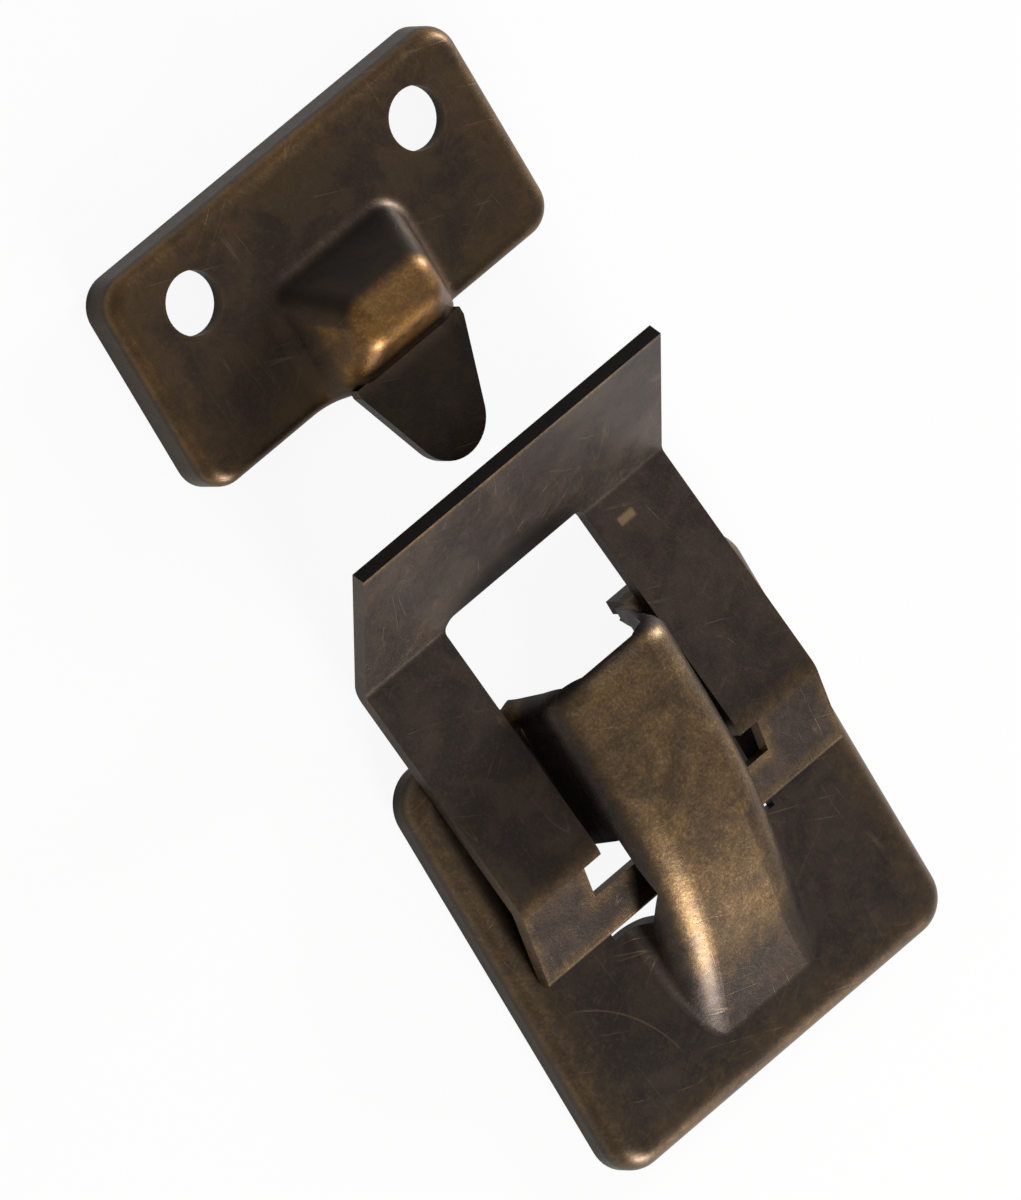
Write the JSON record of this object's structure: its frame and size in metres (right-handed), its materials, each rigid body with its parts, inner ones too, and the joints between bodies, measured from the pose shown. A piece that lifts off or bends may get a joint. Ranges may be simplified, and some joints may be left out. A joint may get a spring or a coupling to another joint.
{
  "type": "cupboard catch",
  "caption": "Sprung cupboard catch with a hump-backed base, a lift-up latch flap and a matching strike with a tongue, in dark aged brass sheet.",
  "frame": {"origin": "middle of the pair's footprint, on the back plane that lies on the cupboard face", "axes": "+Z out of the cupboard face, +Y from the catch towards the strike, +X across the pair"},
  "size_m": [0.0262, 0.0578, 0.0083],
  "materials": {
    "plate_brass": "aged, dark brown with brass rubbed through on the high places",
    "flap_brass": "aged, dark grey-brown, rubbed at the creases",
    "strike_brass": "aged, dark brown with brass rubbed through on the crown",
    "spring_steel": "plain"
  },
  "bodies": {
    "catch": {"catch_plate": "plate_brass", "leaf_spring": "spring_steel", "strike_plate": "strike_brass"},
    "flap": {"latch_flap": "flap_brass"}
  },
  "joints": [
    {"name": "flap_lift", "type": "hinge", "parent": "catch", "child": "flap", "pos_m": [0, -0.01645, 0.0026], "axis": [1, 0, 0], "range_deg": [0, 45], "stiffness_Nm_per_rad": 0.06, "springref_deg": -28.65, "deforming": ["leaf_spring"]}
  ]
}
